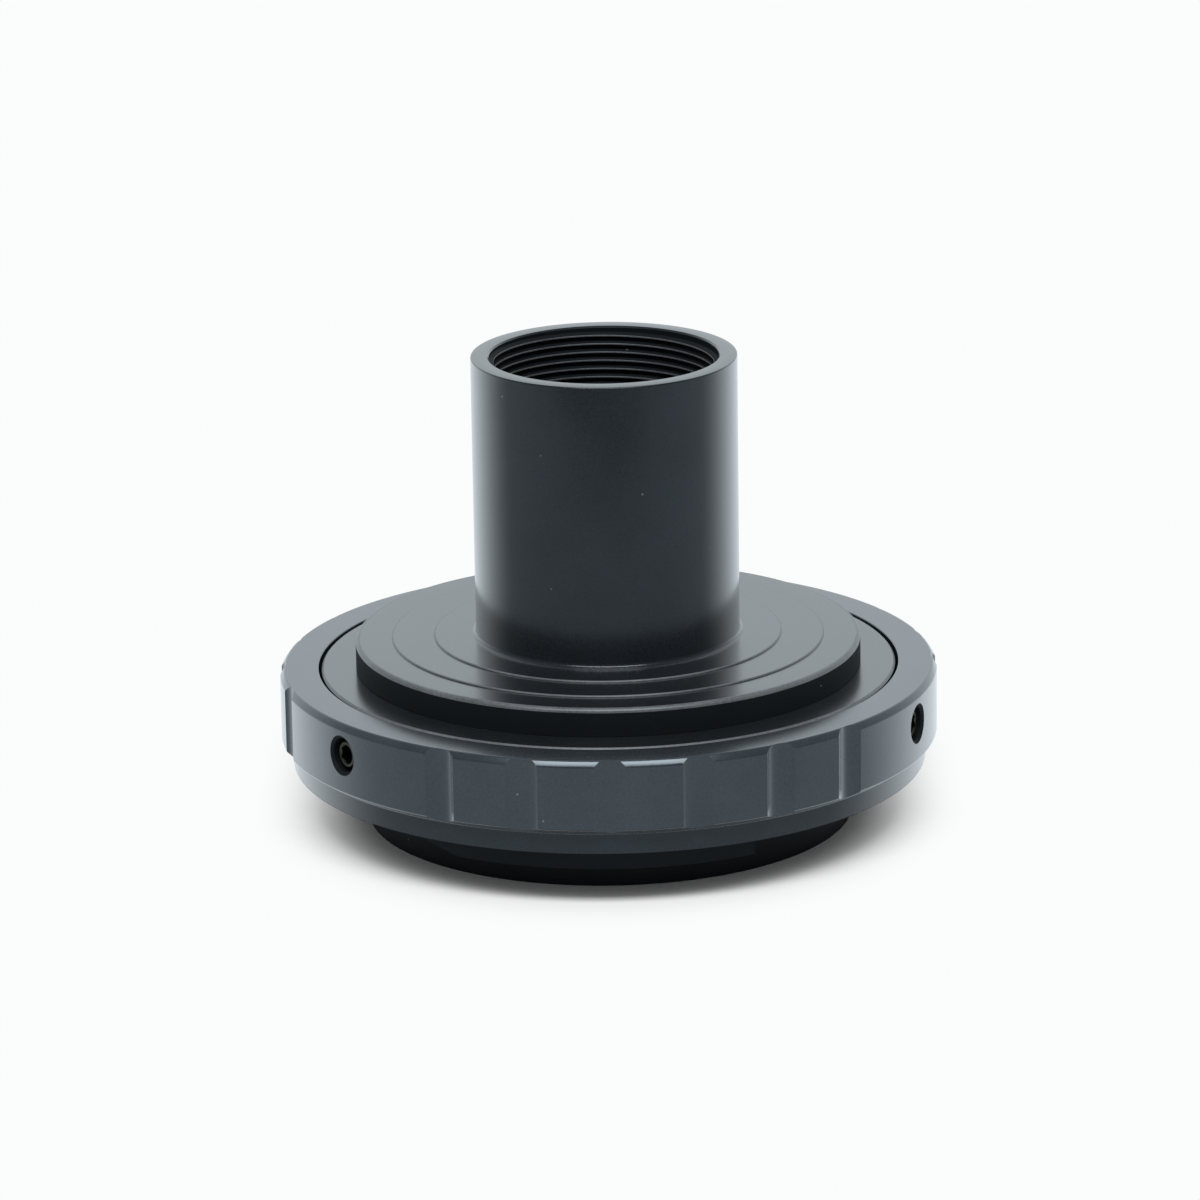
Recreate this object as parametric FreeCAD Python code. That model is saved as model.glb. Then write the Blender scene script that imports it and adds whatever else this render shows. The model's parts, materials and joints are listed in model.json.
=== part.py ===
"""Camera adapter for a microscope: a 23.2 mm eyepiece tube on a bayonet mount ring.

The eyepiece tube and its stepped flange screw into a threaded inner ring. Three cone-point set
screws hold that ring in a fluted outer ring, which ends in a three-lug bayonet.
Millimetres. Z runs up the optical axis from the free end of the bayonet.
Azimuth 0 faces -Y, and a positive azimuth turns towards +X.
Threads are plain cylinders: a pair clears each other, and the mouth's has the middle of its depth.
"""
import FreeCAD
import Part
import math
import os

Vector = FreeCAD.Vector
CENTRE = Vector(0, 0, 0)
X_AXIS = Vector(1, 0, 0)
Z_AXIS = Vector(0, 0, 1)

# Bayonet, below the flange face that seats on the camera
BAYONET_DEPTH = 5.1
BAYONET_RADIUS = 21.4
BAYONET_WALL = 1.9
LUG_COUNT = 3
LUG_REACH = 2.4
LUG_NECK = 1.3
LUG_THICKNESS = 1.5
LUG_SPAN = 74.0
LUG_START = -43.0
RAMP_SPAN = 10.0
RAMP_HEIGHT = 1.0
LOCK_HOLE_RADIUS = 1.25
LOCK_HOLE_FLOOR = 0.7
LOCK_HOLE_AZIMUTH = -75.0

# Screw thread between the flange and the inner ring, M42 x 0.75
MOUNT_THREAD_RADIUS = 21.0
MOUNT_THREAD_CLEARANCE = 0.05

# Inner ring
INNER_WALL = 4.25
GROOVE_DEPTH = 0.6

# Outer ring: its height is the 55 mm thread register less the camera's 46.5 mm register
RING_HEIGHT = 8.5
RING_GAP = 0.3
RING_WALL = 3.45
RING_LEDGE = 1.9
TOP_CHAMFER = 0.45
FOOT_CHAMFER = 0.75
BAND_HEIGHT = 1.75
BAND_EDGE = 0.35

# Grip flutes, in groups with a plain stretch and a set screw between them
GROUP_COUNT = 3
FLUTES_IN_GROUP = 6
FLUTE_PITCH = 15.0
FLUTE_START = -30.0
FLUTE_WIDTH = 2.77
FLUTE_DEPTH = 0.4

# Set screws, M3, with their axes below the top of the rings
SCREW_DROP = 2.8
SCREW_RADIUS = 1.46
SCREW_CLEARANCE = 0.04
SCREW_LENGTH = 3.0
SCREW_TIP_RADIUS = 0.3
SCREW_TIP_CLEARANCE = 0.08
SOCKET_FLATS = 1.5
SOCKET_DEPTH = 1.4

# Flange and threaded skirt
FLANGE_OVERHANG = 1.2
FLANGE_HEIGHT = 2.6
FLANGE_EDGE = 0.25
FLANGE_WEB = 2.0
TERRACE_RISE = 0.25
RIM_WIDTH = 3.2
TERRACE_WIDTH = 3.7
SKIRT_WALL = 2.4
SKIRT_END_ROOM = 1.7

# Eyepiece tube
EYEPIECE_RADIUS = 11.6
EYEPIECE_WALL = 2.0
EYEPIECE_LENGTH = 24.65
EYEPIECE_EDGE = 0.25
MOUTH_THREAD_DEPTH = 0.4
MOUTH_THREAD_LENGTH = 9.0

# Radii that the pieces share, from the thread outwards
inner_radius = MOUNT_THREAD_RADIUS + INNER_WALL
recess_radius = inner_radius + RING_GAP
ring_radius = recess_radius + RING_WALL
band_radius = ring_radius - FOOT_CHAMFER
throat_radius = BAYONET_RADIUS - BAYONET_WALL
lug_radius = BAYONET_RADIUS + LUG_REACH
groove_radius = inner_radius - GROOVE_DEPTH
screw_hole_radius = SCREW_RADIUS + SCREW_CLEARANCE

# Heights that the pieces share, from the free end of the bayonet up
flange_face = BAYONET_DEPTH
ledge = flange_face + RING_LEDGE
ring_top = flange_face + RING_HEIGHT
screw_height = ring_top - SCREW_DROP

# Azimuths: each set screw is midway between two groups of flutes
group_turn = 360.0 / GROUP_COUNT
group_middle = FLUTE_START + (FLUTES_IN_GROUP - 1) * FLUTE_PITCH / 2
screw_azimuths = [group_middle + (index + 0.5) * group_turn for index in range(GROUP_COUNT)]


def corner(radius, height, chamfer=0.0):
    """One corner of a turned outline, sharp unless it has a chamfer."""
    return Vector(radius, 0, height), chamfer


def turned(corners, angle=360.0):
    """Solid turned about Z from a closed outline of corners."""
    points = []
    for index, (point, chamfer) in enumerate(corners):
        if chamfer:
            back = (corners[index - 1][0] - point).normalize()
            ahead = (corners[(index + 1) % len(corners)][0] - point).normalize()
            points += [point + back * chamfer, point + ahead * chamfer]
        else:
            points.append(point)
    face = Part.Face(Part.makePolygon(points + points[:1]))
    return face.revolve(CENTRE, Z_AXIS, angle)


def turned_to(shape, azimuth):
    """Copy of a shape, turned from the front to an azimuth."""
    copy = shape.copy()
    copy.rotate(CENTRE, Z_AXIS, azimuth)
    return copy


def on_screw_axis(shape, azimuth):
    """Copy of a shape made along Z, laid on a set screw's axis with its +Z outwards."""
    copy = shape.copy()
    copy.rotate(CENTRE, X_AXIS, 90)
    copy.translate(Vector(0, 0, screw_height))
    return turned_to(copy, azimuth)


def eyepiece_tube():
    """Tube, stepped flange and threaded skirt, turned as one piece."""
    flange_radius = MOUNT_THREAD_RADIUS + FLANGE_OVERHANG
    skirt_radius = MOUNT_THREAD_RADIUS - MOUNT_THREAD_CLEARANCE
    pocket_radius = skirt_radius - SKIRT_WALL
    bore_radius = EYEPIECE_RADIUS - EYEPIECE_WALL
    skirt_end = ledge + SKIRT_END_ROOM
    rim = ring_top + FLANGE_HEIGHT
    pocket_top = rim - FLANGE_WEB
    first_terrace = rim + TERRACE_RISE
    second_terrace = first_terrace + TERRACE_RISE
    tube_top = second_terrace + EYEPIECE_LENGTH
    mouth_radius = bore_radius + MOUTH_THREAD_DEPTH / 2
    mouth_end = tube_top - MOUTH_THREAD_LENGTH
    rim_radius = flange_radius - RIM_WIDTH
    terrace_radius = rim_radius - TERRACE_WIDTH
    return turned([
        corner(bore_radius, pocket_top),
        corner(pocket_radius, pocket_top),
        corner(pocket_radius, skirt_end),
        corner(skirt_radius, skirt_end),
        corner(skirt_radius, ring_top),
        corner(flange_radius, ring_top),
        corner(flange_radius, rim, chamfer=FLANGE_EDGE),
        corner(rim_radius, rim),
        corner(rim_radius, first_terrace),
        corner(terrace_radius, first_terrace),
        corner(terrace_radius, second_terrace),
        corner(EYEPIECE_RADIUS, second_terrace),
        corner(EYEPIECE_RADIUS, tube_top, chamfer=EYEPIECE_EDGE),
        corner(mouth_radius, tube_top),
        corner(mouth_radius, mouth_end),
        corner(bore_radius, mouth_end),
    ])


def inner_ring():
    """Threaded ring with a V groove for the points of the set screws."""
    return turned([
        corner(MOUNT_THREAD_RADIUS, ledge),
        corner(inner_radius, ledge),
        corner(inner_radius, screw_height - GROOVE_DEPTH),
        corner(groove_radius, screw_height),
        corner(inner_radius, screw_height + GROOVE_DEPTH),
        corner(inner_radius, ring_top),
        corner(MOUNT_THREAD_RADIUS, ring_top),
    ])


def bayonet_lugs():
    """Lugs of the bayonet, each with a lead-in ramp under its first end."""
    lug_top = flange_face - LUG_NECK
    lug_bottom = lug_top - LUG_THICKNESS
    root_radius = (throat_radius + BAYONET_RADIUS) / 2
    sector = turned([
        corner(root_radius, lug_bottom),
        corner(lug_radius, lug_bottom),
        corner(lug_radius, lug_top),
        corner(root_radius, lug_top),
    ], LUG_SPAN)
    ramp_run = lug_radius * math.radians(RAMP_SPAN)
    ramp = Part.Face(Part.makePolygon([
        Vector(0, 0, lug_bottom + RAMP_HEIGHT),
        Vector(0, ramp_run, lug_bottom),
        Vector(0, ramp_run, lug_bottom - RAMP_HEIGHT),
        Vector(0, -ramp_run, lug_bottom - RAMP_HEIGHT),
        Vector(0, -ramp_run, lug_bottom + RAMP_HEIGHT),
        Vector(0, 0, lug_bottom + RAMP_HEIGHT),
    ]))
    lug = sector.cut(ramp.extrude(X_AXIS * (lug_radius + LUG_REACH)))
    front = turned_to(lug, LUG_START - 90)
    return [turned_to(front, index * 360.0 / LUG_COUNT) for index in range(LUG_COUNT)]


def flute_cutters():
    """Upright cylinders that cut the grip flutes to their width and depth."""
    half_width = FLUTE_WIDTH / 2
    chord_distance = math.sqrt(ring_radius ** 2 - half_width ** 2)
    depth_below_chord = chord_distance - (ring_radius - FLUTE_DEPTH)
    cutter_radius = (half_width ** 2 + depth_below_chord ** 2) / (2 * depth_below_chord)
    axis_distance = ring_radius - FLUTE_DEPTH + cutter_radius
    cutter = Part.makeCylinder(cutter_radius, RING_HEIGHT, Vector(0, -axis_distance, flange_face))
    cutters = []
    for group in range(GROUP_COUNT):
        for flute in range(FLUTES_IN_GROUP):
            azimuth = FLUTE_START + group * group_turn + flute * FLUTE_PITCH
            cutters.append(turned_to(cutter, azimuth))
    return cutters


def screw_holes():
    """Tapped holes of the set screws, right through the wall."""
    hole = Part.makeCylinder(screw_hole_radius, 2 * RING_WALL, Vector(0, 0, inner_radius))
    return [on_screw_axis(hole, azimuth) for azimuth in screw_azimuths]


def lock_hole():
    """Blind hole in the flange face for the camera's lock pin."""
    distance = (lug_radius + band_radius - BAND_EDGE) / 2
    depth = RING_LEDGE - LOCK_HOLE_FLOOR
    hole = Part.makeCylinder(LOCK_HOLE_RADIUS, depth, Vector(0, -distance, flange_face))
    return turned_to(hole, LOCK_HOLE_AZIMUTH)


def bayonet_ring():
    """Fluted outer ring, flange face and bayonet, machined as one piece."""
    body = turned([
        corner(throat_radius, 0),
        corner(BAYONET_RADIUS, 0),
        corner(BAYONET_RADIUS, flange_face),
        corner(band_radius, flange_face, chamfer=BAND_EDGE),
        corner(band_radius, flange_face + BAND_HEIGHT),
        corner(ring_radius, flange_face + BAND_HEIGHT + FOOT_CHAMFER),
        corner(ring_radius, ring_top, chamfer=TOP_CHAMFER),
        corner(recess_radius, ring_top),
        corner(recess_radius, ledge),
        corner(throat_radius, ledge),
    ])
    with_lugs = body.fuse(bayonet_lugs()).removeSplitter()
    return with_lugs.cut(flute_cutters() + screw_holes() + [lock_hole()])


def set_screw():
    """Cone-point set screw along Z, placed by its distance from the optical axis."""
    tip = groove_radius + SCREW_TIP_CLEARANCE + SCREW_TIP_RADIUS
    shoulder = tip + SCREW_RADIUS - SCREW_TIP_RADIUS
    end = tip + SCREW_LENGTH
    body = turned([
        corner(0, tip),
        corner(SCREW_TIP_RADIUS, tip),
        corner(SCREW_RADIUS, shoulder),
        corner(SCREW_RADIUS, end),
        corner(0, end),
    ])
    across_corners = SOCKET_FLATS / math.cos(math.radians(30))
    points = []
    for index in range(7):
        angle = math.radians(60 * index)
        x = across_corners / 2 * math.cos(angle)
        y = across_corners / 2 * math.sin(angle)
        points.append(Vector(x, y, end - SOCKET_DEPTH))
    socket = Part.Face(Part.makePolygon(points)).extrude(Z_AXIS * SOCKET_DEPTH)
    return body.cut(socket)


os.makedirs("parts", exist_ok=True)
eyepiece_tube().exportStep("parts/eyepiece_tube.step")
inner_ring().exportStep("parts/inner_ring.step")
bayonet_ring().exportStep("parts/bayonet_ring.step")
screw = set_screw()
for number, azimuth in enumerate(screw_azimuths, start=1):
    on_screw_axis(screw, azimuth).exportStep(f"parts/set_screw_{number}.step")
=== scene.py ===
"""Looks of the microscope camera adapter: turned and milled pieces in black anodised aluminium.

Sizes are in millimetres. The modelling functions turn them into metres, the frame's unit.
Azimuth 0 faces -Y, and a positive azimuth turns towards +X.
"""
import json
import math

import bpy
from mathutils import Matrix, Vector


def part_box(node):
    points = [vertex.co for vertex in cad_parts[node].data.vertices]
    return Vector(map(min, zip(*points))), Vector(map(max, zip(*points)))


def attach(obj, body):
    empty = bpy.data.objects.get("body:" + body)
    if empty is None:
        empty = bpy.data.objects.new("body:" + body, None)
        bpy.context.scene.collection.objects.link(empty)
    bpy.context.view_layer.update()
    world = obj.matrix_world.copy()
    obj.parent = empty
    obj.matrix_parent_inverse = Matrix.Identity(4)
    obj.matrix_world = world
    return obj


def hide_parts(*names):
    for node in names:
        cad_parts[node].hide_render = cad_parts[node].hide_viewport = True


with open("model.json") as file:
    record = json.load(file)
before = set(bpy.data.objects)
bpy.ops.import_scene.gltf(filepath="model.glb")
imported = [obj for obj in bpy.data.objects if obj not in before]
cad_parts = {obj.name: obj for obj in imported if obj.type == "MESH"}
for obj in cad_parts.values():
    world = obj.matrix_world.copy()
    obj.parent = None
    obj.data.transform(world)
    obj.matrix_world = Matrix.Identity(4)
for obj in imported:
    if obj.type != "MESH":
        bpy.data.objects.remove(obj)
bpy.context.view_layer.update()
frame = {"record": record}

MM = 0.001
mounts = {mount["name"]: mount for mount in frame["record"]["mounts"]}
tube_low, tube_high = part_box("eyepiece_tube")
inner_low, inner_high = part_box("inner_ring")

# Radii from the frame, and the bayonet ring's own radii
tube_radius = mounts["eyepiece_tube_outside"]["dims"]["r_mm"]
flange_radius = tube_high.x / MM
inner_radius = inner_high.x / MM
RING_GAP = 0.25
RING_WALL = 3.4
recess_radius = inner_radius + RING_GAP
ring_radius = recess_radius + RING_WALL
FOOT_INSET = 1.0
FOOT_RISE = 0.65
FOOT_EDGE = 0.2
band_radius = ring_radius - FOOT_INSET
THROAT_RADIUS = 19.5
BAYONET_RADIUS = 21.4
LUG_RADIUS = 23.8
MOUNT_THREAD_RADIUS = 21.0

# Heights above the surface that the bayonet stands on
tube_top = tube_high.z / MM
skirt_end = tube_low.z / MM
ledge = inner_low.z / MM
ring_top = inner_high.z / MM
flange_face = mounts["bayonet"]["pos_m"][2] / MM
SCREW_DROP = 2.8
screw_height = ring_top - SCREW_DROP

# Fineness of the round shapes
COLUMNS = 240
CORNER_STEPS = 4
RING_COLUMNS = 360
SMOOTH_ANGLE = math.radians(35)
FLAT_WEIGHT = 100
# Points nearer than these are one point, in metres as the merge and bisect tools take them
MERGE_DISTANCE = 1e-6
CUT_DISTANCE = 1e-7

# A spin or a screw starts at +X, a quarter turn from the front
START_AZIMUTH = 90.0

# Shares of a thread's pitch that its ridge covers at the root and at the crest
THREAD_ROOT_SHARE = 0.86
THREAD_CREST_SHARE = 0.16
CREST_EDGE = 0.05


# Modelling by hand tools
def deselect_all():
    """Leaves nothing selected, so that the next tool works on its own piece alone."""
    bpy.ops.object.select_all(action="DESELECT")


def take(piece):
    """Makes one piece the selected and active one."""
    deselect_all()
    piece.select_set(True)
    bpy.context.view_layer.objects.active = piece


def apply_modifier(piece, kind, **settings):
    """Adds a modifier with its settings and applies it."""
    take(piece)
    modifier = piece.modifiers.new(kind.lower(), kind)
    for name, value in settings.items():
        setattr(modifier, name, value)
    bpy.ops.object.modifier_apply(modifier=modifier.name)


def rounded(corners):
    """Outline in metres from corners of (radius, height, edge round), with each round as an arc."""
    points = []
    last = len(corners) - 1
    for index, (radius, height, edge) in enumerate(corners):
        point = Vector((radius, 0, height))
        if not edge:
            points.append(point * MM)
            continue
        before = corners[index - 1]
        after = corners[0 if index == last else index + 1]
        back = (Vector((before[0], 0, before[1])) - point).normalized()
        ahead = (Vector((after[0], 0, after[1])) - point).normalized()
        half_angle = back.angle(ahead) / 2
        centre = point + (back + ahead).normalized() * edge / math.sin(half_angle)
        start = point + back * edge / math.tan(half_angle) - centre
        end = point + ahead * edge / math.tan(half_angle) - centre
        for step in range(CORNER_STEPS + 1):
            points.append((centre + start.slerp(end, step / CORNER_STEPS) * edge) * MM)
    return points


def draw(name, points, closed=True):
    """New piece with a line of edges, drawn by extruding one point along the outline."""
    deselect_all()
    bpy.ops.mesh.primitive_plane_add(size=MM, location=points[0])
    piece = bpy.context.object
    piece.name = name
    piece.data.name = name
    bpy.ops.object.transform_apply(location=True)
    bpy.ops.object.mode_set(mode="EDIT")
    bpy.ops.mesh.select_all(action="SELECT")
    bpy.ops.mesh.merge(type="CENTER")
    stops = points[1:] + points[:1] if closed else points[1:]
    for here, there in zip(points, stops):
        bpy.ops.mesh.extrude_region_move(TRANSFORM_OT_translate={"value": there - here})
    bpy.ops.mesh.select_all(action="SELECT")
    bpy.ops.mesh.remove_doubles(threshold=MERGE_DISTANCE)
    bpy.ops.object.mode_set(mode="OBJECT")
    return piece


def close_up(piece):
    """Merges a piece's doubles, fills its open ends and turns its faces outwards."""
    take(piece)
    bpy.ops.object.mode_set(mode="EDIT")
    bpy.ops.mesh.select_all(action="SELECT")
    bpy.ops.mesh.remove_doubles(threshold=MERGE_DISTANCE)
    bpy.ops.mesh.fill_holes(sides=0)
    bpy.ops.mesh.select_all(action="SELECT")
    bpy.ops.mesh.normals_make_consistent(inside=False)
    bpy.ops.object.mode_set(mode="OBJECT")
    return piece


def turn(name, corners, angle=360.0, columns=COLUMNS):
    """Piece turned about Z from an outline of corners; one that starts on the axis is solid."""
    piece = draw(name, rounded(corners), closed=corners[0][0] > 0)
    take(piece)
    bpy.ops.object.mode_set(mode="EDIT")
    bpy.ops.mesh.select_all(action="SELECT")
    # The spin tool turns clockwise about its axis, so the axis points down
    bpy.ops.mesh.spin(steps=columns, angle=math.radians(angle), center=(0, 0, 0), axis=(0, 0, -1))
    bpy.ops.object.mode_set(mode="OBJECT")
    return close_up(piece)


def thread(name, root, crest, start, pitch, turns, columns=COLUMNS):
    """Thread ridge wound about Z, from a root radius that lies in the wall to its crest."""
    half_root = pitch * THREAD_ROOT_SHARE / 2
    half_crest = pitch * THREAD_CREST_SHARE / 2
    piece = draw(name, rounded([
        (root, start - half_root, 0),
        (crest, start - half_crest, CREST_EDGE),
        (crest, start + half_crest, CREST_EDGE),
        (root, start + half_root, 0),
    ]))
    apply_modifier(piece, "SCREW", axis="Z", angle=math.tau, screw_offset=pitch * MM, iterations=turns,
                   steps=columns, render_steps=columns)
    return close_up(piece)


def combine(piece, other, operation):
    """Cuts a piece by another, or joins the two into one skin, and removes the other."""
    apply_modifier(piece, "BOOLEAN", operation=operation, solver="EXACT", object=other)
    bpy.data.objects.remove(other)


def join(piece, others):
    """Puts other pieces' meshes into one piece."""
    take(piece)
    for other in others:
        other.select_set(True)
    bpy.ops.object.join()
    return piece


def turned_copy(piece, azimuth):
    """Copy with its own mesh, turned about Z from the front to an azimuth."""
    take(piece)
    bpy.ops.object.duplicate()
    copy = bpy.context.object
    copy.rotation_euler = (0, 0, math.radians(azimuth))
    bpy.ops.object.transform_apply(rotation=True)
    return copy


def lay_on_screw_axis(piece):
    """Lays a piece made along Z on the set screws' height, with its +Z facing the front."""
    take(piece)
    piece.rotation_euler = (math.radians(90), 0, 0)
    piece.location = (0, 0, screw_height * MM)
    bpy.ops.object.transform_apply(location=True, rotation=True)
    return piece


def finish_faces(piece):
    """Smooth shading on round faces, with flat faces kept flat up to their rounded edges."""
    take(piece)
    bpy.ops.object.shade_smooth_by_angle(angle=SMOOTH_ANGLE)
    apply_modifier(piece, "WEIGHTED_NORMAL", mode="FACE_AREA", weight=FLAT_WEIGHT, keep_sharp=True)
    return piece


# Eyepiece tube with its flange and skirt
EDGE = 0.05
FLANGE_HEIGHT = 2.5
FLANGE_EDGE = 0.38
FLANGE_WEB = 2.0
TERRACE_RISE = 0.15
TERRACE_EDGE = 0.13
RIM_WIDTH = 3.2
TERRACE_WIDTH = 3.7
POCKET_RADIUS = 18.55
TUBE_EDGE = 0.12
TUBE_FILLET = 0.4
MOUTH_CHAMFER = 0.15
SKIRT_LEAD_IN = 0.3
THREAD_PITCH = 0.75
THREAD_DEPTH = 0.4
THREAD_OVERLAP = 0.05
MOUTH_TURNS = 11
MOUTH_RUN_OUT = 0.42
SKIRT_TURNS = 5
SKIRT_CLEARANCE = 0.06
skirt_crest = MOUNT_THREAD_RADIUS - SKIRT_CLEARANCE
mouth = mounts["mouth_thread"]["dims"]
bore_radius = mouth["r_mm"] - THREAD_DEPTH / 2
mouth_root = mouth["r_mm"] + THREAD_DEPTH / 2
mouth_end = tube_top - mouth["length_mm"]
rim = ring_top + FLANGE_HEIGHT
first_terrace = rim + TERRACE_RISE
second_terrace = first_terrace + TERRACE_RISE
rim_radius = flange_radius - RIM_WIDTH
terrace_radius = rim_radius - TERRACE_WIDTH


def eyepiece_tube():
    """Tube, stepped flange and skirt turned as one piece, with its two threads."""
    pocket_top = rim - FLANGE_WEB
    skirt_root = skirt_crest - THREAD_DEPTH
    piece = turn("eyepiece_tube_turned", [
        (bore_radius, pocket_top, EDGE),
        (POCKET_RADIUS, pocket_top, EDGE),
        (POCKET_RADIUS, skirt_end, EDGE),
        (skirt_root - SKIRT_LEAD_IN, skirt_end, EDGE),
        (skirt_root, skirt_end + SKIRT_LEAD_IN, EDGE),
        (skirt_root, ring_top, 0),
        (flange_radius, ring_top, EDGE),
        (flange_radius, rim, FLANGE_EDGE),
        (rim_radius, rim, 0),
        (rim_radius, first_terrace, TERRACE_EDGE),
        (terrace_radius, first_terrace, 0),
        (terrace_radius, second_terrace, TERRACE_EDGE),
        (tube_radius, second_terrace, TUBE_FILLET),
        (tube_radius, tube_top, TUBE_EDGE),
        (mouth_root + MOUTH_CHAMFER, tube_top, EDGE),
        (mouth_root, tube_top - MOUTH_CHAMFER, EDGE),
        (mouth_root, mouth_end, 0),
        (bore_radius, mouth_end - THREAD_DEPTH, EDGE),
    ])
    ridge = thread("mouth_thread", mouth_root + THREAD_OVERLAP, bore_radius,
                   tube_top - MOUTH_RUN_OUT - MOUTH_TURNS * THREAD_PITCH, THREAD_PITCH, MOUTH_TURNS)
    # The ridge ends at the front, where the first turn meets the rim
    mouth_thread = turned_copy(ridge, -START_AZIMUTH)
    bpy.data.objects.remove(ridge)
    skirt_thread = thread("skirt_thread", skirt_root - THREAD_OVERLAP, skirt_crest,
                          skirt_end + SKIRT_LEAD_IN + THREAD_PITCH / 2, THREAD_PITCH, SKIRT_TURNS)
    return finish_faces(join(piece, [mouth_thread, skirt_thread]))


# Inner ring
INNER_EDGE = 0.2
GROOVE_DEPTH = 0.6
LEAD_IN = 0.4


def inner_ring():
    """Threaded ring with a V groove for the points of the set screws."""
    return finish_faces(turn("inner_ring_turned", [
        (MOUNT_THREAD_RADIUS, ledge, EDGE),
        (inner_radius, ledge, EDGE),
        (inner_radius, screw_height - GROOVE_DEPTH, EDGE),
        (inner_radius - GROOVE_DEPTH, screw_height, EDGE),
        (inner_radius, screw_height + GROOVE_DEPTH, EDGE),
        (inner_radius, ring_top - INNER_EDGE, EDGE),
        (inner_radius - INNER_EDGE, ring_top, EDGE),
        (MOUNT_THREAD_RADIUS + LEAD_IN, ring_top, EDGE),
        (MOUNT_THREAD_RADIUS, ring_top - LEAD_IN, EDGE),
    ]))


# Bayonet ring
RECESS_EDGE = 0.1
TOP_INSET = 0.38
TOP_DROP = 0.52
TOP_EDGE = 0.3
BAND_HEIGHT = 1.75
LUG_COUNT = 3
LUG_NECK = 1.3
LUG_THICKNESS = 1.5
LUG_SPAN = 74.0
LUG_START = -43.0
LUG_EDGE = 0.15
LUG_COLUMNS = 74
RAMP_SPAN = 10.0
RAMP_HEIGHT = 1.0
LOCK_HOLE_RADIUS = 1.25
LOCK_HOLE_DEPTH = 1.2
LOCK_HOLE_AZIMUTH = -75.0
GROUP_COUNT = 3
FLUTES_IN_GROUP = 6
FLUTE_PITCH = 15.0
FLUTE_START = -30.0
FLUTE_WIDTH = 2.77
FLUTE_DEPTH = 0.5
FLUTE_COLUMNS = 96
SCREW_HOLE_RADIUS = 1.5
HOLE_CHAMFER = 0.28
HOLE_COLUMNS = 64
group_turn = 360.0 / GROUP_COUNT
group_middle = FLUTE_START + (FLUTES_IN_GROUP - 1) * FLUTE_PITCH / 2
screw_azimuths = [group_middle + (index + 0.5) * group_turn for index in range(GROUP_COUNT)]


def bayonet_lug():
    """Lug that starts at +X, with a lead-in ramp cut under its first end."""
    lug_top = flange_face - LUG_NECK
    lug_bottom = lug_top - LUG_THICKNESS
    root = (THROAT_RADIUS + BAYONET_RADIUS) / 2
    lug = turn("lug", [
        (root, lug_bottom, 0),
        (LUG_RADIUS, lug_bottom, LUG_EDGE),
        (LUG_RADIUS, lug_top, LUG_EDGE),
        (root, lug_top, 0),
    ], angle=LUG_SPAN, columns=LUG_COLUMNS)
    run = LUG_RADIUS * math.radians(RAMP_SPAN)
    take(lug)
    bpy.ops.object.mode_set(mode="EDIT")
    bpy.ops.mesh.select_all(action="SELECT")
    bpy.ops.mesh.bisect(plane_co=(0, 0, (lug_bottom + RAMP_HEIGHT) * MM),
                        plane_no=Vector((0, -RAMP_HEIGHT, -run)).normalized(),
                        use_fill=True, clear_outer=True, threshold=CUT_DISTANCE)
    bpy.ops.object.mode_set(mode="OBJECT")
    return lug


def flute_cutters():
    """Upright cylinders that mill the grip flutes to their width and depth."""
    half_width = FLUTE_WIDTH / 2
    chord_distance = math.sqrt(ring_radius ** 2 - half_width ** 2)
    depth_below_chord = chord_distance - (ring_radius - FLUTE_DEPTH)
    cutter_radius = (half_width ** 2 + depth_below_chord ** 2) / (2 * depth_below_chord)
    distance = ring_radius - FLUTE_DEPTH + cutter_radius
    deselect_all()
    bpy.ops.mesh.primitive_cylinder_add(
        vertices=FLUTE_COLUMNS, radius=cutter_radius * MM, depth=2 * (ring_top - flange_face) * MM,
        location=(0, -distance * MM, ring_top * MM))
    cutter = bpy.context.object
    bpy.ops.object.transform_apply(location=True)
    copies = []
    for group in range(GROUP_COUNT):
        for flute in range(FLUTES_IN_GROUP):
            azimuth = FLUTE_START + group * group_turn + flute * FLUTE_PITCH
            copies.append(turned_copy(cutter, azimuth))
    bpy.data.objects.remove(cutter)
    return join(copies[0], copies[1:])


def screw_hole_cutters():
    """Drills of the set screws' holes, with a countersunk entry in the wall."""
    entry = ring_radius - HOLE_CHAMFER
    drill = lay_on_screw_axis(turn("screw_hole", [
        (0, inner_radius, 0),
        (SCREW_HOLE_RADIUS, inner_radius, 0),
        (SCREW_HOLE_RADIUS, entry, 0),
        (SCREW_HOLE_RADIUS + RING_WALL, entry + RING_WALL, 0),
        (0, entry + RING_WALL, 0),
    ], columns=HOLE_COLUMNS))
    copies = [turned_copy(drill, azimuth) for azimuth in screw_azimuths]
    bpy.data.objects.remove(drill)
    return copies


def lock_hole_cutter():
    """Drill of the blind hole in the flange face for the camera's lock pin."""
    distance = (LUG_RADIUS + band_radius) / 2
    drill = turn("lock_hole", [
        (0, flange_face - LOCK_HOLE_DEPTH, 0),
        (LOCK_HOLE_RADIUS, flange_face - LOCK_HOLE_DEPTH, 0),
        (LOCK_HOLE_RADIUS, flange_face + LOCK_HOLE_DEPTH, EDGE),
        (0, flange_face + LOCK_HOLE_DEPTH, 0),
    ], columns=HOLE_COLUMNS)
    take(drill)
    drill.location = (0, -distance * MM, 0)
    bpy.ops.object.transform_apply(location=True)
    placed = turned_copy(drill, LOCK_HOLE_AZIMUTH)
    bpy.data.objects.remove(drill)
    return placed


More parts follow.
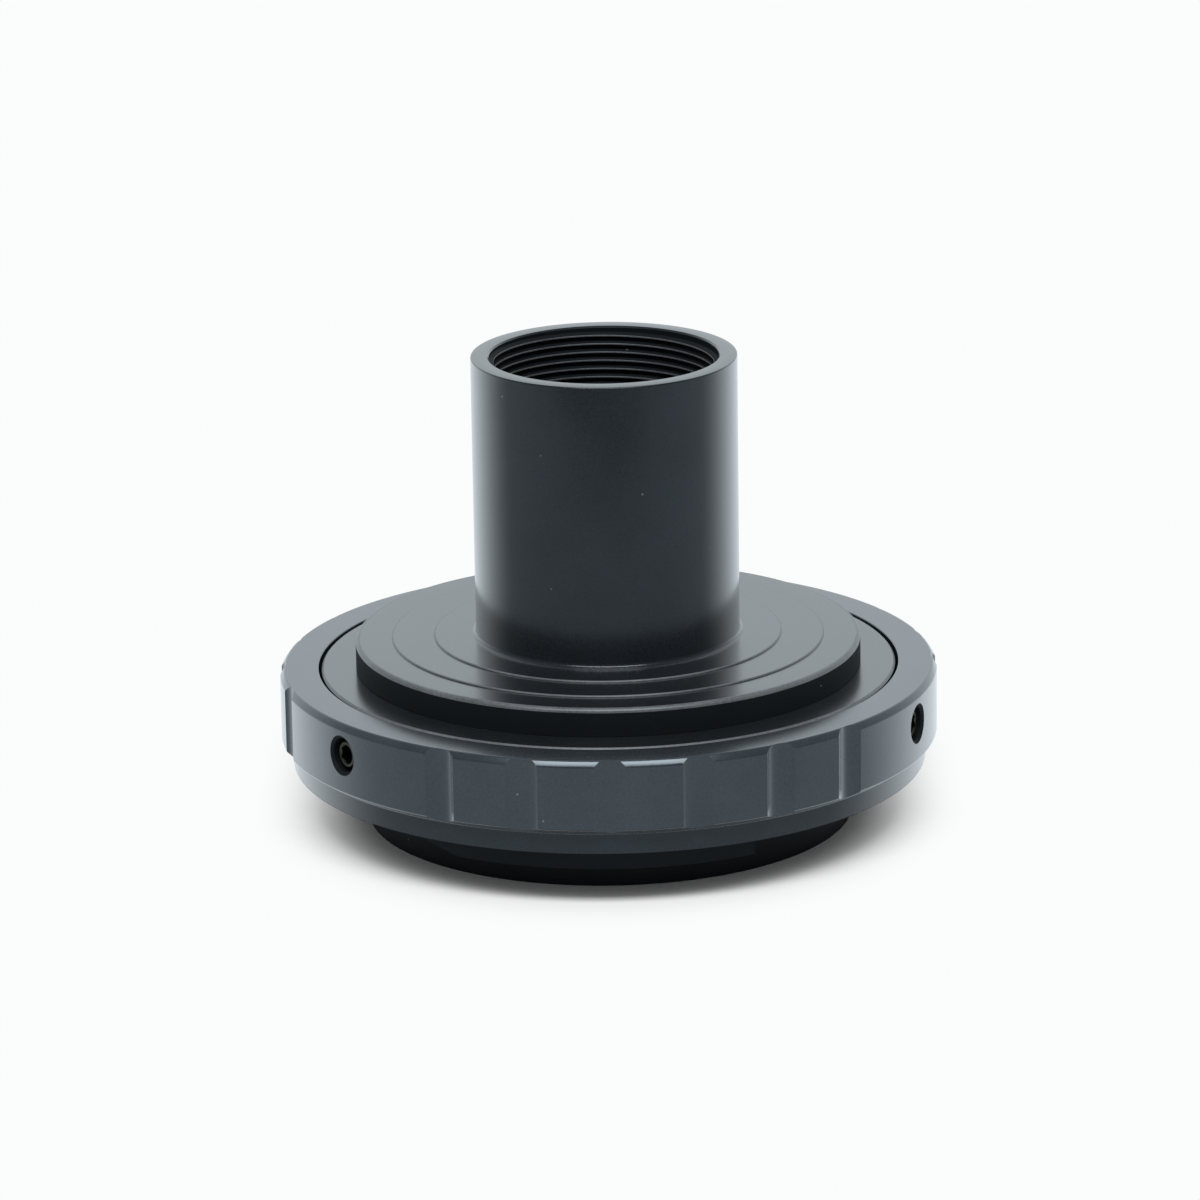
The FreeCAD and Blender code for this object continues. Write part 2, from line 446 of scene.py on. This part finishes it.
def bayonet_ring():
    """Fluted outer ring with its flange face, neck and lugs, machined as one piece."""
    foot = flange_face + BAND_HEIGHT
    ring = turn("bayonet_ring_milled", [
        (THROAT_RADIUS, 0, EDGE),
        (BAYONET_RADIUS, 0, EDGE),
        (BAYONET_RADIUS, flange_face, EDGE),
        (band_radius, flange_face, EDGE),
        (band_radius, foot, EDGE),
        (ring_radius, foot + FOOT_RISE, FOOT_EDGE),
        (ring_radius, ring_top - TOP_DROP, TOP_EDGE),
        (ring_radius - TOP_INSET, ring_top, TOP_EDGE),
        (recess_radius, ring_top, RECESS_EDGE),
        (recess_radius, ledge, EDGE),
        (THROAT_RADIUS, ledge, EDGE),
    ], columns=RING_COLUMNS)
    lug = bayonet_lug()
    for index in range(LUG_COUNT):
        azimuth = LUG_START - START_AZIMUTH + index * 360 / LUG_COUNT
        combine(ring, turned_copy(lug, azimuth), "UNION")
    bpy.data.objects.remove(lug)
    combine(ring, flute_cutters(), "DIFFERENCE")
    for drill in screw_hole_cutters():
        combine(ring, drill, "DIFFERENCE")
    combine(ring, lock_hole_cutter(), "DIFFERENCE")
    return finish_faces(ring)


# Set screws
SCREW_RADIUS = 1.46
SCREW_LENGTH = 3.35
SCREW_TIP_RADIUS = 0.3
SCREW_TIP_CLEARANCE = 0.08
SCREW_PITCH = 0.5
SCREW_THREAD_DEPTH = 0.24
SOCKET_SIDES = 6
SOCKET_FLATS = 1.5
SOCKET_DEPTH = 1.4
SCREW_CHAMFER = 0.15
COUNTERSINK = 0.12


def set_screw():
    """Cone-point set screw at the front, with its thread and hexagon socket."""
    tip = inner_radius - GROOVE_DEPTH + SCREW_TIP_CLEARANCE + SCREW_TIP_RADIUS
    core = SCREW_RADIUS - SCREW_THREAD_DEPTH
    shoulder = tip + core - SCREW_TIP_RADIUS
    end = tip + SCREW_LENGTH
    screw = turn("set_screw", [
        (0, tip, 0),
        (SCREW_TIP_RADIUS, tip, EDGE),
        (core, shoulder, EDGE),
        (core, end - SCREW_CHAMFER, EDGE),
        (core - SCREW_CHAMFER, end, EDGE),
        (0, end, 0),
    ], columns=HOLE_COLUMNS)
    half_corners = SOCKET_FLATS / 2 / math.cos(math.pi / SOCKET_SIDES)
    deselect_all()
    bpy.ops.mesh.primitive_cylinder_add(vertices=SOCKET_SIDES, radius=half_corners * MM,
                                        depth=2 * SOCKET_DEPTH * MM, location=(0, 0, end * MM))
    socket = bpy.context.object
    bpy.ops.object.transform_apply(location=True)
    combine(screw, socket, "DIFFERENCE")
    countersink = turn("countersink", [
        (0, end - half_corners, 0),
        (half_corners + COUNTERSINK, end + COUNTERSINK, 0),
        (0, end + COUNTERSINK, 0),
    ], columns=HOLE_COLUMNS)
    combine(screw, countersink, "DIFFERENCE")
    turns = math.floor((end - shoulder) / SCREW_PITCH) - 1
    ridge = thread("screw_thread", core - THREAD_OVERLAP / 2, SCREW_RADIUS, shoulder + SCREW_PITCH / 2,
                   SCREW_PITCH, turns, columns=HOLE_COLUMNS)
    return lay_on_screw_axis(finish_faces(join(screw, [ridge])))


# Materials
def linear(colour):
    """Linear colour with alpha from an sRGB hex value."""
    channels = [int(colour[start:start + 2], 16) / 255 for start in (1, 3, 5)]
    return [c / 12.92 if c <= 0.04045 else ((c + 0.055) / 1.055) ** 2.4 for c in channels] + [1.0]


def add_node(tree, kind, links=None, inputs=None, **settings):
    """Node with its settings, constant inputs and links from other nodes' outputs."""
    node = tree.nodes.new(kind)
    for name, value in settings.items():
        setattr(node, name, value)
    for socket, value in (inputs or {}).items():
        node.inputs[socket].default_value = value
    for socket, output in (links or {}).items():
        tree.links.new(output, node.inputs[socket])
    return node


def new_material(name):
    """Empty material with its output node."""
    material = bpy.data.materials.new(name)
    material.use_nodes = True
    material.node_tree.nodes.clear()
    output = material.node_tree.nodes.new("ShaderNodeOutputMaterial")
    return material, material.node_tree, output


# Patterns of the anodised skin; clouds and grain add up to the dye's mottle
CLOUD_SIZE = 6.0
GRAIN_SIZE = 0.2
MOTTLE_DARK = 0.6
MOTTLE_LIGHT = 1.4
# Turning lines are drawn coarser than their 0.05 mm feed, which is too fine to show
LINE_SIZE = 0.15
# Lines and grain add up to the surface's texture, which goes from 0 to its full value
FULL_TEXTURE = 2.0
GLOSS_SPREAD = 0.05
BUMP_HEIGHT = 0.01
BUMP_STRENGTH = 0.08
# A speck of dust is full inside its core and ends at its reach, both as shares of the spacing
DUST_SPACING = 3.0
DUST_CORE = 0.015
DUST_REACH = 0.04
DUST_COVER = 0.5
DUST_COLOUR = "#8c8c86"
# The seal's gloss starts and is full at these values, between 0 in front view and 1 in grazing view
SEAL_START = 0.31
SEAL_END = 0.77
SEAL_IOR = 2.8
SHINE_TINT = "#e6f6ff"


def black_anodised(name, dark, light, roughness, ior, grazing_gloss):
    """Anodised aluminium: a dyed, sealed oxide skin over turned metal.

    It is near black from the front, with a fine grain in the dye, faint turning lines and a few specks of
    dust, and its shine is a little blue. Towards grazing view the sealed skin turns into a pale gloss.
    """
    material, tree, output = new_material(name)
    place = add_node(tree, "ShaderNodeTexCoord").outputs["Object"]
    clouds = add_node(tree, "ShaderNodeTexNoise", {"Vector": place},
                      {"Scale": 1 / (CLOUD_SIZE * MM), "Detail": 4.0})
    grain = add_node(tree, "ShaderNodeTexNoise", {"Vector": place},
                     {"Scale": 1 / (GRAIN_SIZE * MM), "Detail": 2.0})
    mottle = add_node(tree, "ShaderNodeMath", {0: clouds.outputs["Fac"], 1: grain.outputs["Fac"]},
                      operation="ADD")
    shade = add_node(tree, "ShaderNodeMapRange", {"Value": mottle.outputs["Value"]},
                     {"From Min": MOTTLE_DARK, "From Max": MOTTLE_LIGHT})
    dye = add_node(tree, "ShaderNodeMix", {"Factor": shade.outputs["Result"]}, data_type="RGBA")
    dye.inputs["A"].default_value = linear(dark)
    dye.inputs["B"].default_value = linear(light)

    # Turning lines follow the radius on flat faces and the height on walls
    axis_part = add_node(tree, "ShaderNodeSeparateXYZ", {"Vector": place})
    flat_part = add_node(tree, "ShaderNodeVectorMath", {0: place}, {1: (1, 1, 0)}, operation="MULTIPLY")
    radius = add_node(tree, "ShaderNodeVectorMath", {0: flat_part.outputs["Vector"]}, operation="LENGTH")
    lathe = add_node(tree, "ShaderNodeCombineXYZ",
                     {"X": radius.outputs["Value"], "Z": axis_part.outputs["Z"]})
    lines = add_node(tree, "ShaderNodeTexNoise", {"Vector": lathe.outputs["Vector"]},
                     {"Scale": 1 / (LINE_SIZE * MM), "Detail": 1.0})
    texture = add_node(tree, "ShaderNodeMath", {0: lines.outputs["Fac"], 1: grain.outputs["Fac"]},
                       operation="ADD")
    gloss = add_node(tree, "ShaderNodeMapRange", {"Value": texture.outputs["Value"]},
                     {"From Max": FULL_TEXTURE,
                      "To Min": roughness - GLOSS_SPREAD, "To Max": roughness + GLOSS_SPREAD})
    bump = add_node(tree, "ShaderNodeBump", {"Height": texture.outputs["Value"]},
                    {"Strength": BUMP_STRENGTH, "Distance": BUMP_HEIGHT * MM})

    # Specks of dust lie where a cell's point comes near the surface
    cells = add_node(tree, "ShaderNodeTexVoronoi", {"Vector": place}, {"Scale": 1 / (DUST_SPACING * MM)})
    dust = add_node(tree, "ShaderNodeMapRange", {"Value": cells.outputs["Distance"]},
                    {"From Min": DUST_CORE, "From Max": DUST_REACH, "To Min": DUST_COVER, "To Max": 0.0})
    colour = add_node(tree, "ShaderNodeMix", {"Factor": dust.outputs["Result"], "A": dye.outputs["Result"]},
                      data_type="RGBA")
    colour.inputs["B"].default_value = linear(DUST_COLOUR)

    view = add_node(tree, "ShaderNodeLayerWeight", inputs={"Blend": 0.5})
    seal = add_node(tree, "ShaderNodeMapRange", {"Value": view.outputs["Facing"]},
                    {"From Min": SEAL_START, "From Max": SEAL_END, "To Max": grazing_gloss},
                    interpolation_type="SMOOTHSTEP")
    skin = add_node(tree, "ShaderNodeBsdfPrincipled",
                    {"Base Color": colour.outputs["Result"], "Roughness": gloss.outputs["Result"],
                     "Coat Weight": seal.outputs["Result"], "Normal": bump.outputs["Normal"]},
                    {"IOR": ior, "Specular Tint": linear(SHINE_TINT), "Coat IOR": SEAL_IOR,
                     "Coat Roughness": roughness})
    tree.links.new(skin.outputs["BSDF"], output.inputs["Surface"])
    return material


# Grain of the blackened steel, its range of roughness and its colour
STEEL_GRAIN = 0.3
STEEL_SMOOTH = 0.25
STEEL_ROUGH = 0.4
STEEL_COLOUR = "#3a3931"


def black_oxide_steel():
    """Blackened steel: a thin dark oxide on bare metal, dark grey with a metal's shine."""
    material, tree, output = new_material("black_oxide_steel")
    place = add_node(tree, "ShaderNodeTexCoord")
    grain = add_node(tree, "ShaderNodeTexNoise", {"Vector": place.outputs["Object"]},
                     {"Scale": 1 / (STEEL_GRAIN * MM), "Detail": 3.0})
    gloss = add_node(tree, "ShaderNodeMapRange", {"Value": grain.outputs["Fac"]},
                     {"To Min": STEEL_SMOOTH, "To Max": STEEL_ROUGH})
    skin = add_node(tree, "ShaderNodeBsdfPrincipled", {"Roughness": gloss.outputs["Result"]},
                    {"Base Color": linear(STEEL_COLOUR), "Metallic": 1.0})
    tree.links.new(skin.outputs["BSDF"], output.inputs["Surface"])
    return material


# Fine-turned faces: near black with a soft sheen; on the bayonet ring's band its darker dye serves as painted
# shade
satin_skin = black_anodised("satin_black_anodised_aluminium", "#0f1215", "#1e2226", 0.22, 1.43, 1.0)
# The fluted wall and the ring's top: blue-black and a little glossier
ring_skin = black_anodised("semi_gloss_black_anodised_aluminium", "#242a2f", "#32383e", 0.2, 1.5, 1.0)
# Threads, holes, neck, lugs and the flange's wall: rough with hardly any shine, and a darker dye that paints
# the shade on these hollows and shaded faces
matt_with_painted_shade_skin = black_anodised("matt_black_anodised_aluminium_with_painted_shade", "#0c0e10", "#121518", 0.6, 1.25, 0.0)
# Edges and crests: grey lines, partly where the dye has rubbed thin and partly a painted highlight
worn_with_painted_highlight_skin = black_anodised("worn_black_anodised_aluminium_with_painted_highlight", "#383b3e", "#66696b", 0.4, 1.6, 0.5)
screw_skin = black_oxide_steel()


# Skins by place on a piece
def dress(piece, skins, node, zone=None):
    """Gives a finished piece its skins and the body that it moves with."""
    piece.data.materials.clear()
    for skin in skins:
        piece.data.materials.append(skin)
    if zone:
        for face in piece.data.polygons:
            face.material_index = skins.index(zone(face.center / MM))
    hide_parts(node)
    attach(piece, node)


def on_edge(place, radius, top, edge):
    """Whether a face lies on the rounded upper edge of a turned step."""
    distance = place.xy.length
    return radius - edge < distance < radius + EDGE and top - edge < place.z < top


def tube_zone(place):
    """Skin of a face of the eyepiece tube: matt with painted shade in its mouth and on the flange's wall,
    worn grey with a painted highlight on edges.
    """
    distance = place.xy.length
    # In the mouth the crests take the worn grey, rubbed dye with a painted highlight, and the flanks and
    # roots a darker matt dye as painted shade
    if place.z > mouth_end and distance < mouth_root + EDGE:
        return worn_with_painted_highlight_skin if distance < bore_radius + CREST_EDGE / 2 else matt_with_painted_shade_skin
    # Rounded step edges take the worn grey: rubbed dye and a painted highlight line
    if on_edge(place, flange_radius, rim, FLANGE_EDGE):
        return worn_with_painted_highlight_skin
    if on_edge(place, rim_radius, first_terrace, TERRACE_EDGE):
        return worn_with_painted_highlight_skin
    if on_edge(place, terrace_radius, second_terrace, TERRACE_EDGE):
        return worn_with_painted_highlight_skin
    # The flange's outer wall takes the darker matt dye as painted shade
    return matt_with_painted_shade_skin if distance > flange_radius - EDGE else satin_skin


def inner_zone(place):
    """Skin of a face of the inner ring: worn grey with a painted highlight on its upper edge."""
    return worn_with_painted_highlight_skin if on_edge(place, inner_radius, ring_top, INNER_EDGE) else satin_skin


def in_screw_hole(place):
    """Whether a face lies on the wall or the countersink of a set screw's hole."""
    # The outer wall's faces beside the hole have their middles further out than this
    hole_end = ring_radius - HOLE_CHAMFER / 3
    for azimuth in screw_azimuths:
        angle = math.radians(azimuth)
        outwards = Vector((math.sin(angle), -math.cos(angle), 0))
        offset = place - Vector((0, 0, screw_height))
        depth = offset.dot(outwards)
        from_axis = (offset - outwards * depth).length
        if recess_radius < depth < hole_end and from_axis < SCREW_HOLE_RADIUS + HOLE_CHAMFER:
            return True
    return False


def bayonet_zone(place):
    """Skin of a face of the bayonet ring: matt with painted shade in its holes, on its neck and lugs, satin
    as painted shade on its band.
    """
    # The neck, lugs, flange face and screw holes take the darker matt dye as painted shade
    if place.z < flange_face + EDGE or in_screw_hole(place):
        return matt_with_painted_shade_skin
    # The band under the fluted wall takes the darker satin dye as painted shade under the wall's overhang
    return satin_skin if place.z < flange_face + BAND_HEIGHT + FOOT_RISE + EDGE else ring_skin


dress(eyepiece_tube(), [satin_skin, matt_with_painted_shade_skin, worn_with_painted_highlight_skin], "eyepiece_tube", tube_zone)
dress(inner_ring(), [satin_skin, worn_with_painted_highlight_skin], "inner_ring", inner_zone)
dress(bayonet_ring(), [ring_skin, matt_with_painted_shade_skin, satin_skin], "bayonet_ring", bayonet_zone)
front_screw = set_screw()
for number, azimuth in enumerate(screw_azimuths, start=1):
    screw = turned_copy(front_screw, azimuth)
    screw.name = f"set_screw_threaded_{number}"
    dress(screw, [screw_skin], f"set_screw_{number}")
bpy.data.objects.remove(front_screw)


# Floor, world and lamp
FLOOR_WIDTH = 3000.0
FLOOR_FRONT = 135.0
FIBRE_SIZE = 2.0
CARD_DARK = "#f6f6f6"
CARD_LIGHT = "#f8f8f8"
PLAIN_WHITE = "#fbfcfc"
COOL_WHITE = "#eff9ff"
# The shadow fades with the distance from a line that runs back from under the part
SHADOW_FRONT = -1.5
SHADOW_BACK = 40.0
FADE_START = 21.0
FADE_END = 32.0


def white_floor():
    """Matt white card that the part stands on, shown plain white outside the part's shadow."""
    material, tree, output = new_material("matt_white_card")
    # The card's plain white is not a lamp, so it is never sampled as one
    material.cycles.emission_sampling = "NONE"
    place = add_node(tree, "ShaderNodeTexCoord")
    fibres = add_node(tree, "ShaderNodeTexNoise", {"Vector": place.outputs["Object"]},
                      {"Scale": 1 / (FIBRE_SIZE * MM), "Detail": 3.0})
    colour = add_node(tree, "ShaderNodeMix", {"Factor": fibres.outputs["Fac"]}, data_type="RGBA")
    colour.inputs["A"].default_value = linear(CARD_DARK)
    colour.inputs["B"].default_value = linear(CARD_LIGHT)
    card = add_node(tree, "ShaderNodeBsdfDiffuse", {"Color": colour.outputs["Result"]})
    rays = add_node(tree, "ShaderNodeLightPath")
    tint = add_node(tree, "ShaderNodeMix", {"Factor": rays.outputs["Is Camera Ray"]}, data_type="RGBA")
    tint.inputs["A"].default_value = linear(COOL_WHITE)
    tint.inputs["B"].default_value = linear(PLAIN_WHITE)
    white = add_node(tree, "ShaderNodeEmission", {"Color": tint.outputs["Result"]}, {"Strength": 1.0})
    spot = add_node(tree, "ShaderNodeSeparateXYZ", {"Vector": place.outputs["Object"]})
    along = add_node(tree, "ShaderNodeClamp", {"Value": spot.outputs["Y"]},
                     {"Min": SHADOW_FRONT * MM, "Max": SHADOW_BACK * MM})
    past = add_node(tree, "ShaderNodeMath", {0: spot.outputs["Y"], 1: along.outputs["Result"]},
                    operation="SUBTRACT")
    offset = add_node(tree, "ShaderNodeCombineXYZ", {"X": spot.outputs["X"], "Y": past.outputs["Value"]})
    distance = add_node(tree, "ShaderNodeVectorMath", {0: offset.outputs["Vector"]}, operation="LENGTH")
    fade = add_node(tree, "ShaderNodeMapRange", {"Value": distance.outputs["Value"]},
                    {"From Min": FADE_START * MM, "From Max": FADE_END * MM}, interpolation_type="SMOOTHSTEP")
    seen = add_node(tree, "ShaderNodeMath",
                    {0: rays.outputs["Is Camera Ray"], 1: rays.outputs["Is Glossy Ray"]}, operation="MAXIMUM")
    clear = add_node(tree, "ShaderNodeMath",
                     {0: seen.outputs["Value"], 1: rays.outputs["Is Transmission Ray"]}, operation="MAXIMUM")
    share = add_node(tree, "ShaderNodeMath", {0: clear.outputs["Value"], 1: fade.outputs["Result"]},
                     operation="MULTIPLY")
    mixed = add_node(tree, "ShaderNodeMixShader", {0: share.outputs["Value"], 1: card.outputs["BSDF"],
                                                    2: white.outputs["Emission"]})
    tree.links.new(mixed.outputs["Shader"], output.inputs["Surface"])
    deselect_all()
    bpy.ops.mesh.primitive_plane_add(size=FLOOR_WIDTH * MM,
                                     location=(0, (FLOOR_WIDTH / 2 - FLOOR_FRONT) * MM, 0))
    floor = bpy.context.object
    floor.name = "floor"
    bpy.ops.object.transform_apply(location=True)
    floor.data.materials.append(material)


# Levels of the soft light, and of the room that glossy faces see
AMBIENT = 0.16
SIDE_GLOW = 0.48
ROOM_FRONT = 0.25
ROOM_BACK = 0.75
# The room's level changes between these parts of a direction along Y
FRONT_END = -0.3
BACK_START = 0.5


def studio_world():
    """White to the camera, a cool room with a darker front to glossy faces, and soft light from the sides."""
    world = bpy.data.worlds.new("studio")
    bpy.context.scene.world = world
    world.use_nodes = True
    # Rays find the surround by themselves, so that glossy faces see all of it
    world.cycles.sampling_method = "NONE"
    tree = world.node_tree
    tree.nodes.clear()
    output = tree.nodes.new("ShaderNodeOutputWorld")
    rays = add_node(tree, "ShaderNodeLightPath")
    place = add_node(tree, "ShaderNodeTexCoord")
    direction = add_node(tree, "ShaderNodeSeparateXYZ", {"Vector": place.outputs["Generated"]})
    level = add_node(tree, "ShaderNodeMapRange", {"Value": direction.outputs["Y"]},
                     {"From Min": FRONT_END, "From Max": BACK_START,
                      "To Min": ROOM_FRONT, "To Max": ROOM_BACK})
    room = add_node(tree, "ShaderNodeBackground", {"Strength": level.outputs["Result"]},
                    {"Color": linear(COOL_WHITE)})
    sideways = add_node(tree, "ShaderNodeMath", {0: direction.outputs["X"]}, operation="ABSOLUTE")
    soft_level = add_node(tree, "ShaderNodeMath", {0: sideways.outputs["Value"]}, {1: SIDE_GLOW, 2: AMBIENT},
                          operation="MULTIPLY_ADD")
    glow = add_node(tree, "ShaderNodeBackground", {"Strength": soft_level.outputs["Value"]},
                    {"Color": (1, 1, 1, 1)})
    white = add_node(tree, "ShaderNodeBackground", inputs={"Color": linear(PLAIN_WHITE), "Strength": 1.0})
    shiny = add_node(tree, "ShaderNodeMath",
                     {0: rays.outputs["Is Glossy Ray"], 1: rays.outputs["Is Transmission Ray"]},
                     operation="MAXIMUM")
    lit = add_node(tree, "ShaderNodeMixShader", {0: shiny.outputs["Value"], 1: glow.outputs["Background"],
                                                  2: room.outputs["Background"]})
    mixed = add_node(tree, "ShaderNodeMixShader", {0: rays.outputs["Is Camera Ray"], 1: lit.outputs["Shader"],
                                                    2: white.outputs["Background"]})
    tree.links.new(mixed.outputs["Shader"], output.inputs["Surface"])


# Softbox, with its power in watts
LAMP_ELEVATION = 59.0
LAMP_DISTANCE = 900.0
LAMP_WIDTH = 720.0
LAMP_HEIGHT = 220.0
LAMP_POWER = 6.8


def softbox():
    """Wide softbox high in front of the part and aimed at it."""
    lamp = bpy.data.lights.new("softbox", "AREA")
    lamp.shape = "RECTANGLE"
    lamp.size = LAMP_WIDTH * MM
    lamp.size_y = LAMP_HEIGHT * MM
    lamp.energy = LAMP_POWER
    holder = bpy.data.objects.new("softbox", lamp)
    tilt = Matrix.Rotation(math.radians(90 - LAMP_ELEVATION), 4, "X")
    holder.matrix_world = tilt @ Matrix.Translation((0, 0, LAMP_DISTANCE * MM))
    bpy.context.scene.collection.objects.link(holder)


# Camera, fitted to the photograph's view of the ring's top face
CAMERA_DISTANCE = 535.8
CAMERA_ELEVATION = 17.24
CAMERA_YAW = -0.07
CAMERA_PITCH = 0.561
CAMERA_ROLL = -0.86
LENS = 182.43
SENSOR = 36.0
CLIP_START = 10.0


def camera():
    """Camera aimed at the middle of the ring's top face, turned a little to frame it like the photograph."""
    elevation = math.radians(CAMERA_ELEVATION)
    data = bpy.data.cameras.new("camera")
    data.lens = LENS
    data.sensor_width = SENSOR
    data.clip_start = CLIP_START * MM
    holder = bpy.data.objects.new("camera", data)
    stand = Vector((0, -math.cos(elevation), math.sin(elevation))) * CAMERA_DISTANCE
    stand.z += ring_top
    aim = Matrix.Rotation(math.pi / 2 - elevation, 4, "X")
    aim @= Matrix.Rotation(math.radians(-CAMERA_YAW), 4, "Y")
    aim @= Matrix.Rotation(math.radians(CAMERA_PITCH), 4, "X")
    aim @= Matrix.Rotation(math.radians(CAMERA_ROLL), 4, "Z")
    holder.matrix_world = Matrix.Translation(stand * MM) @ aim
    bpy.context.scene.collection.objects.link(holder)
    bpy.context.scene.camera = holder


white_floor()
studio_world()
softbox()
camera()
bpy.context.scene.view_settings.view_transform = "Standard"
